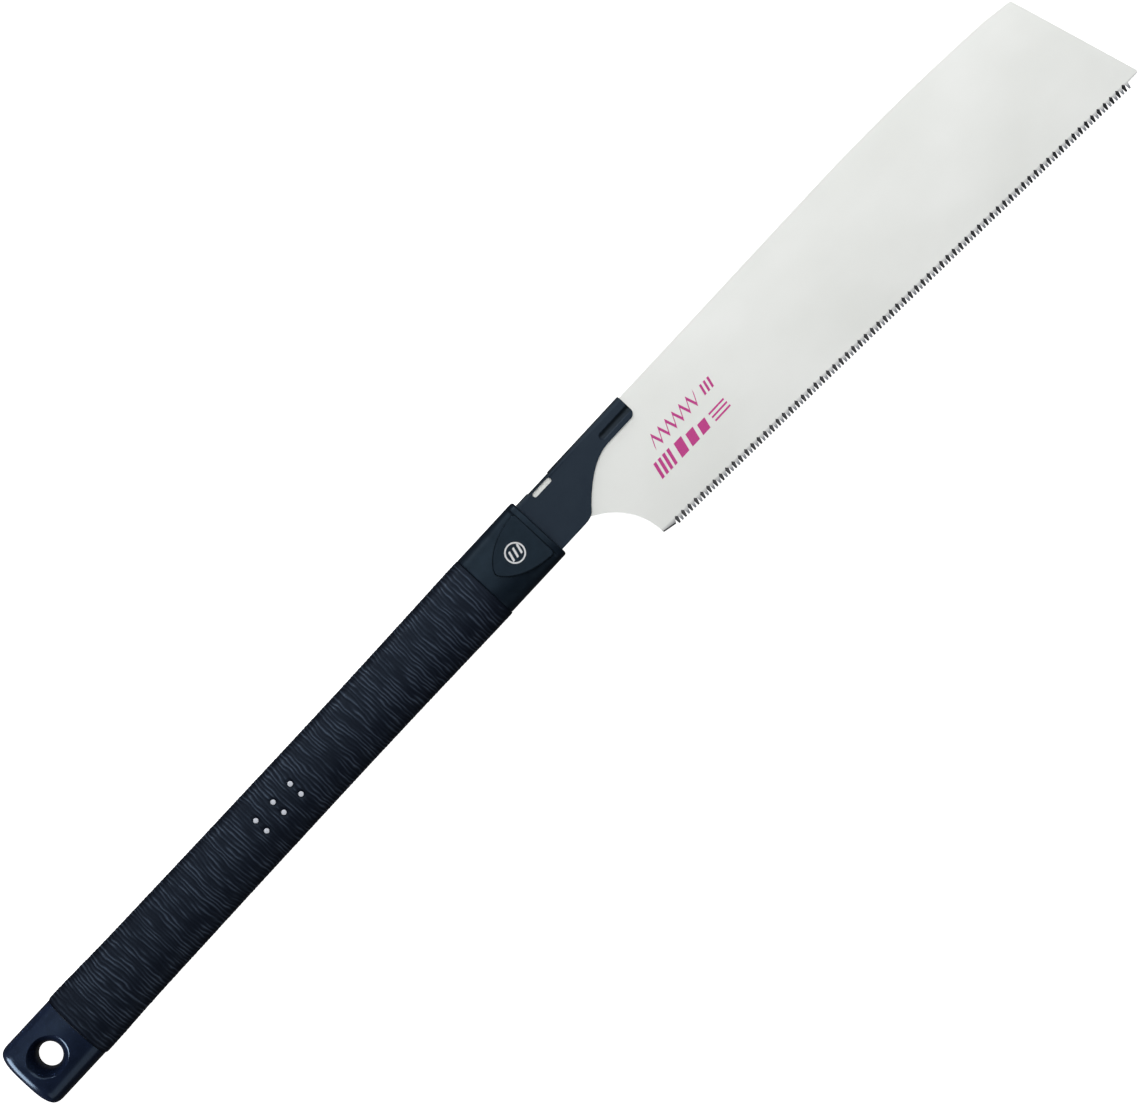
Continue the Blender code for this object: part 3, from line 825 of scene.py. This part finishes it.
def make_ferrule(plastic):
    half_y, half_z = FERRULE_HALF
    rear, front = FERRULE_REAR, FERRULE_FRONT
    sy, sz = SPIGOT_HALF
    stations = [
        (247.0, sy - 0.8, sz - 0.8, 2.6, 0),
        (248.0, sy, sz, 2.6, 0),
        (rear - 0.01, sy, sz, 2.6, 0),
    ]
    for t in np.linspace(0, 1, 5):
        drop = 0.4 * (1 - math.sin(t * math.pi / 2))
        x = rear + 0.4 * (1 - math.cos(t * math.pi / 2))
        stations.append((x, half_y - drop, half_z - drop, 2.6, FERRULE_Y))
    for x in np.linspace(rear + 1.0, LIP_X - 0.7, 40):
        power = np.interp(x, (rear, 296, LIP_X), (2.6, 3.0, 4.2))
        stations.append((x, half_y, half_z, power, FERRULE_Y))
    for t in np.linspace(0, 1, 9):
        rise = LIP_RISE * (0.5 - 0.5 * math.cos(t * math.pi))
        stations.append((LIP_X - 0.5 + 0.6 * t, half_y, half_z + rise, 4.3, FERRULE_Y))
    round_r = 1.1
    for t in np.linspace(0, 1, 9):
        x = front - round_r + round_r * math.sin(t * math.pi / 2)
        drop = round_r * (1 - math.cos(t * math.pi / 2))
        stations.append((x, half_y - drop, half_z + LIP_RISE - drop, 4.3, FERRULE_Y))
    obj = loft("ferrule", stations, 200)
    clear = HOLDER_HALF + 0.15
    neck = box(
        "neck_pocket",
        (SHOULDER_X - 1, HOLDER_LOW_Y - 0.2, -clear),
        (front + 5, HOLDER_TOP_Y + 0.2, clear),
    )
    tang = box(
        "tang_pocket",
        (TANG_X - 0.5, -TANG_HALF - 0.2, -clear),
        (SHOULDER_X + 1, TANG_HALF + 0.2, clear),
    )
    pins = [round_cutter(f"pin_{x}", x, 0, TANG_PIN_HOLE_R, 15) for x in TANG_PINS]
    recesses = [
        plate("recess_right", shield_outline(RECESS_GAP), RECESS_FLOOR, 14),
        plate("recess_left", shield_outline(RECESS_GAP), -14, -RECESS_FLOOR),
    ]
    obj = cut(obj, neck, tang, *pins, *recesses)
    shade(obj, 30)
    return finish_piece(obj, "handle", plastic, ["front_ferrule"])


def make_shield(name, side, plastic, node):
    low, high = (SHIELD_FLOOR, PAD_TOP) if side > 0 else (-PAD_TOP - 0.05, -SHIELD_FLOOR)
    obj = plate(name, shield_outline(), low, high, SHIELD_EDGE, 4)
    shade(obj, 30)
    flatten_faces(obj)
    return finish_piece(obj, "handle", plastic, [node])


# The grip and its pips


def grip_profile(x):
    """Half height, half thickness and centre height of the sleeve along X."""
    half_y = through(
        (31, 36, 60, 100, 150, 210, 240, 276, 281),
        (16.35, 16.35, 15.8, 15.45, 15.2, 15.15, 15.35, 15.7, 15.72),
        x,
    )
    half_z = through(
        (31, 40, 62, 100, 150, 210, 245, 281),
        (11.45, 11.3, 11.0, 10.75, 10.6, 10.6, 10.8, 11.0),
        x,
    )
    start, end = GRIP_X
    radius = 0.9
    near = np.clip(np.minimum(x - start, (end - x) * 1.8), 0, radius)
    drop = radius - np.sqrt(radius**2 - (radius - near) ** 2)
    drop = np.where(x > 150, 0.5 * drop, drop)
    return half_y - drop, half_z - drop, 0.2 * (x - start) / (end - start)


def wrinkle(x, y, z):
    """How high the crinkled surface stands, from 0 to 1: fine wavy folds across the handle."""
    drift = 6.0 * noise.noise(Vector((x * 0.10, y * 0.05, z * 0.05)))
    waver = 2.4 * noise.noise(Vector((x * 0.45 + 20, y * 0.24, z * 0.24)))
    crest = 0.5 + 0.5 * math.sin(2 * math.pi * x / WRINKLE_PITCH + drift + waver)
    patch = 0.70 + 0.95 * noise.noise(Vector((x * 0.42 + 9, y * 0.14, z * 0.14)))
    return crest**1.4 * min(1.0, max(0.12, patch))


def pip_hole(x, y):
    """The hole through the upper side of the sleeve that a marker sits in."""
    low, high = BORE_HALF[1] / 2, GRIP_TOP_Z + 2
    radius = PIP_R + PIP_GAP
    profile = [(0, low), (radius, low), (radius, high), (0, high)]
    return turned("pip_hole", profile, (x, y, 0), PIP_HOLE_SIDES)


def make_grip(rubber):
    """The sleeve, with its folds, a calm dimple round each marker, its bore and its holes."""
    rings, count = 900, 100
    start, end = GRIP_X
    t = np.linspace(0, 1, rings)
    x = start + (end - start) * t
    close = np.linspace(0, 1, 12) ** 2
    x = np.concatenate([start + close * 1.2, x[5:-4], end - close[::-1] * 0.9])
    half_y, half_z, centre = grip_profile(x)
    points, faces, folds = [], [], []
    for xi, hy, hz, cy in zip(x, half_y, half_z, centre):
        section = oval(hy, hz, 2.6, count)
        ny = np.abs(section[:, 0] / hy) ** 1.6 * np.sign(section[:, 0]) / hy
        nz = np.abs(section[:, 1] / hz) ** 1.6 * np.sign(section[:, 1]) / hz
        size = np.hypot(ny, nz)
        edge = min(1.0, max(0.0, (xi - start - 0.6) / 1.5), max(0.0, (end - 0.6 - xi) / 1.5))
        for (y, z), a, b in zip(section, ny / size, nz / size):
            y += cy
            near = min(math.hypot(xi - px, y - py) for px in PIP_X for py in PIP_Y) if z > 0 else 99
            calm = min(1.0, max(0.0, (near - 1.5) / 1.0)) * edge
            fold = wrinkle(xi, y, z) * calm
            folds.append(fold)
            height = WRINKLE_HEIGHT * fold
            if near < 1.75:
                height -= 0.28
            points.append((xi, y + a * height, z + b * height))
    rows = len(x)
    for xi in (end, start):
        section = oval(*BORE_HALF, 2.6, count)
        points += [(xi, y, z) for y, z in section]
    for row in range(rows + 2):
        a, b = row * count, (row + 1) % (rows + 2) * count
        for i in range(count):
            j = (i + 1) % count
            faces.append((a + i, a + j, b + j, b + i))
    obj = mesh_object("grip", points, faces)
    # The fold heights go on the mesh, where the rubber turns them into painted highlight on the
    # crests and painted shade in the hollows.
    attribute = obj.data.attributes.new("fold", "FLOAT", "POINT")
    attribute.data.foreach_set("value", folds + [0.0] * (2 * count))
    obj = cut(obj, join("pip_holes", [pip_hole(px, py) for px in PIP_X for py in PIP_Y]))
    shade(obj, 50)
    return finish_piece(obj, "handle", rubber, ["grip_sleeve"])


def make_pip(row, column, x, y, white):
    """A white marker with a low domed top."""
    floor = BORE_HALF[1] - 0.1
    profile = [(0, floor), (PIP_R, floor)]
    for i in range(7):
        a = math.pi / 2 * i / 6
        profile.append((PIP_R - 0.3 + 0.3 * math.cos(a), PIP_TOP - 0.3 + 0.22 * math.sin(a)))
    profile.append((0, PIP_TOP))
    obj = turned(f"pip_{row}_{column}", profile, (x, y, 0), 32)
    shade(obj, 40)
    return finish_piece(obj, "handle", white, [f"grip_pip_{row}_{column}"])


# The butt cap


def hang_hole():
    """The turned shape that the hang hole takes out: a throat flaring to both faces."""
    face = BUTT_HALF[1]
    flare = bezier(
        (HANG_THROAT_R, 0.6),
        (HANG_THROAT_R + 0.1, 5.5),
        (HANG_MOUTH_R - 1.9, face - 3.4),
        (HANG_MOUTH_R - 0.75, face - 1.1),
        16,
    )
    lip = bezier(
        flare[-1],
        (HANG_MOUTH_R - 0.35, face - 0.45),
        (HANG_MOUTH_R + 0.1, face - 0.06),
        (HANG_MOUTH_R + 0.9, face + 0.02),
        8,
    )
    upper = flare + lip[1:] + [Vector((HANG_MOUTH_R + 1.4, face + 3)), Vector((0, face + 3))]
    profile = [(p.x, -p.y) for p in reversed(upper)] + [(p.x, p.y) for p in upper]
    return turned("hang_hole", profile, (*HANG_HOLE, 0), 96)


def make_butt(plastic):
    half_y, half_z = BUTT_HALF
    sy, sz = SPIGOT_HALF
    joint = GRIP_X[0] - 0.02
    end_x = (0.0, 0.2, 0.55, 1.1, 1.9, 3.0, 4.9)
    end_y = (9.0, 11.0, 12.6, 13.9, 14.9, 15.55, 15.95)
    end_z = (6.6, 8.0, 8.7, 9.35, 10.0, 10.5, 10.8)
    stations = []
    for x in end_x[-1] * np.linspace(0, 1, 28) ** 1.6:
        y, z = through(end_x, end_y, x), through(end_x, end_z, x)
        stations.append((BUTT_END_X + x, y, z, 2.9, 0))
    for x in np.linspace(6.5, joint, 34):
        power = np.interp(x, (6.5, joint), (2.9, 2.6))
        stations.append((x, half_y, half_z, power, 0))
    stations += [
        (joint + 0.01, sy, sz, 2.6, 0),
        (52, sy, sz, 2.6, 0),
        (53, sy - 0.8, sz - 0.8, 2.6, 0),
    ]
    obj = loft("butt", stations, 160)
    obj = cut(obj, hang_hole())
    shade(obj, 30)
    return finish_piece(obj, "handle", plastic, ["butt_cap"])


# The printed marks


def slanted(x, y, width, height, slant=0.28):
    """A bar's outline, leaning towards the toe."""
    lean = slant * height
    low = [(x, y), (x + width, y)]
    high = [(x + width + lean, y + height), (x + lean, y + height)]
    return [Vector(p) for p in low + high]


def join(name, pieces):
    """One object from several meshes."""
    shape = bmesh.new()
    for piece in pieces:
        shape.from_mesh(piece.data)
    mesh = bpy.data.meshes.new(name)
    shape.to_mesh(mesh)
    shape.free()
    for piece in pieces:
        bpy.data.objects.remove(piece)
    obj = bpy.data.objects.new(name, mesh)
    bpy.context.scene.collection.objects.link(obj)
    return obj


def make_blade_print(ink):
    """A plain mark of slanted bars and a tooth band, printed on the blade."""
    low, high = BLADE_HALF, BLADE_HALF + INK_HEIGHT
    outlines = [slanted(362.5 + 2.6 * i, -23.3, 1.5, 7.0) for i in range(4)]
    outlines += [slanted(374.5 + 6.4 * i, -23.3, 4.4, 6.6 - 0.9 * i) for i in range(3)]
    outlines += [slanted(395.0, -23.3 + 1.9 * i, 9.0, 0.8) for i in range(3)]
    teeth = []
    for i in range(7):
        teeth += [Vector((369.5 + 4.2 * i, -13.6)), Vector((372.2 + 4.2 * i, -8.6))]
    back = [p + Vector((0.6, 1.9)) for p in teeth]
    outlines.append(teeth + back[::-1])
    outlines += [slanted(399.8 + 2.2 * i, -12.6, 1.1, 4.6) for i in range(3)]
    pieces = [plate(f"ink_{i}", outline, low, high) for i, outline in enumerate(outlines)]
    obj = join("blade_print", pieces)
    return finish_piece(obj, "blade", ink)


def make_shield_mark(ink):
    """A plain ring with three bars, printed on the near shield."""
    centre = Vector((298.8, 0.5))
    low, high = PAD_TOP, PAD_TOP + INK_HEIGHT
    pieces = []
    for i in range(3):
        outline = slanted(295.6 + 2.3 * i, -1.6, 1.0, 4.2, 0.3)
        pieces.append(plate(f"bar_{i}", outline, low, high))
    outer = arc(centre, 4.5, 0, 2 * math.pi, 64)[:-1]
    inner = arc(centre, 3.8, 0, 2 * math.pi, 64)[:-1]
    count = len(outer)
    points = [(p.x, p.y, z) for z in (low, high) for loop in (outer, inner) for p in loop]
    faces = []
    for i in range(count):
        j = (i + 1) % count
        faces.append((i, j, count + j, count + i))
        faces.append((2 * count + i, 2 * count + j, 3 * count + j, 3 * count + i))
        faces.append((i, j, 2 * count + j, 2 * count + i))
        faces.append((count + i, count + j, 3 * count + j, 3 * count + i))
    ring = mesh_object("mark_ring", points, faces)
    obj = join("shield_mark", pieces + [ring])
    return finish_piece(obj, "handle", ink)


# Stage, light and camera


def make_stage():
    n = Nodes("floor")
    n.set(Base_Color=(0.9, 0.9, 0.9, 1), Roughness=1.0, Specular_IOR_Level=0.0)
    n.set(Emission_Color=(1, 1, 1, 1), Emission_Strength=1.05)
    bpy.ops.mesh.primitive_plane_add(size=12, location=(0, 0, -0.0002))
    floor = bpy.context.object
    floor.name = "floor"
    floor.data.materials.append(n.material)
    backdrop_light = Nodes("backdrop")
    backdrop_light.set(Base_Color=(1, 1, 1, 1), Emission_Color=(1, 1, 1, 1), Emission_Strength=1.0)
    bpy.ops.mesh.primitive_uv_sphere_add(segments=48, ring_count=24, radius=9, location=(0, 0, 0))
    backdrop = bpy.context.object
    backdrop.name = "backdrop"
    backdrop.data.materials.append(backdrop_light.material)
    for obj in (floor, backdrop):
        obj.visible_diffuse = False
        obj.visible_glossy = False
    backdrop.visible_shadow = False


def softbox(name, place, target, size, power, colour=(1, 1, 1)):
    light = bpy.data.lights.new(name, "AREA")
    light.shape = "RECTANGLE"
    light.size, light.size_y = size
    light.energy = power
    light.color = colour
    obj = bpy.data.objects.new(name, light)
    bpy.context.scene.collection.objects.link(obj)
    obj.location = place
    obj.rotation_euler = (Vector(target) - Vector(place)).to_track_quat("-Z", "Y").to_euler()
    obj.visible_camera = False
    return obj


def make_lights():
    for light in LIGHTS:
        softbox(*light)
    world = bpy.data.worlds.new("studio")
    world.use_nodes = True
    world.node_tree.nodes["Background"].inputs["Color"].default_value = (*[WORLD_LIGHT] * 3, 1)
    bpy.context.scene.world = world


def light_only(light, obj):
    """Lets a light fall on one piece alone."""
    receivers = bpy.data.collections.new(f"{light}_receivers")
    receivers.objects.link(bpy.data.objects[obj])
    bpy.data.objects[light].light_linking.receiver_collection = receivers


def make_camera():
    data = bpy.data.cameras.new("camera")
    data.lens = CAMERA_LENS
    data.sensor_width = 36
    data.clip_start = 0.05
    data.clip_end = 30
    camera = bpy.data.objects.new("camera", data)
    bpy.context.scene.collection.objects.link(camera)
    camera.location = ORIGIN + Vector(CAMERA_PLACE)
    camera.rotation_euler = (0, 0, math.radians(CAMERA_TURN))
    bpy.context.scene.camera = camera


scene = bpy.context.scene
scene.view_settings.view_transform = "Standard"
make_camera()
make_lights()
make_stage()

make_blade(steel_material(), tooth_material())
make_holder(paint_material())
ferrule_plastic = dark_plastic("ferrule_plastic", (0.007, 0.012, 0.020), 0.38, (0.5, 0.76, 1.0), 0.25)
cap_plastic = dark_plastic("cap_plastic", (0.003, 0.005, 0.012), 0.21, (0.50, 0.72, 1.0), 0.38)
make_ferrule(ferrule_plastic)
make_shield("shield_right", 1, ferrule_plastic, "badge_plate_right")
make_shield("shield_left", -1, ferrule_plastic, "badge_plate_left")
make_grip(rubber_material())
make_butt(cap_plastic)
white = plain_material("white_pips", (0.82, 0.86, 0.95), 0.4)
for column, x in enumerate(PIP_X, start=1):
    for row, y in zip(("upper", "lower"), PIP_Y):
        make_pip(row, column, x, y, white)
make_blade_print(plain_material("magenta_ink", (0.74, 0.05, 0.34), 0.5))
make_shield_mark(plain_material("white_ink", (0.90, 0.91, 0.93), 0.5))

inner_steel = plain_material("inner_steel", (0.5, 0.51, 0.53), 0.35, 1.0)
core_plastic = plain_material("core_plastic", (0.02, 0.02, 0.02), 0.5)
for node in ("hook_pin", "tang_spacer", "tang_pin_rear", "tang_pin_front"):
    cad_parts[node].material_slots[0].material = inner_steel
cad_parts["handle_tube"].material_slots[0].material = core_plastic

# At a low angle from the toe this light would mirror in the blade and burn it out.
light_only("end_light", "butt")
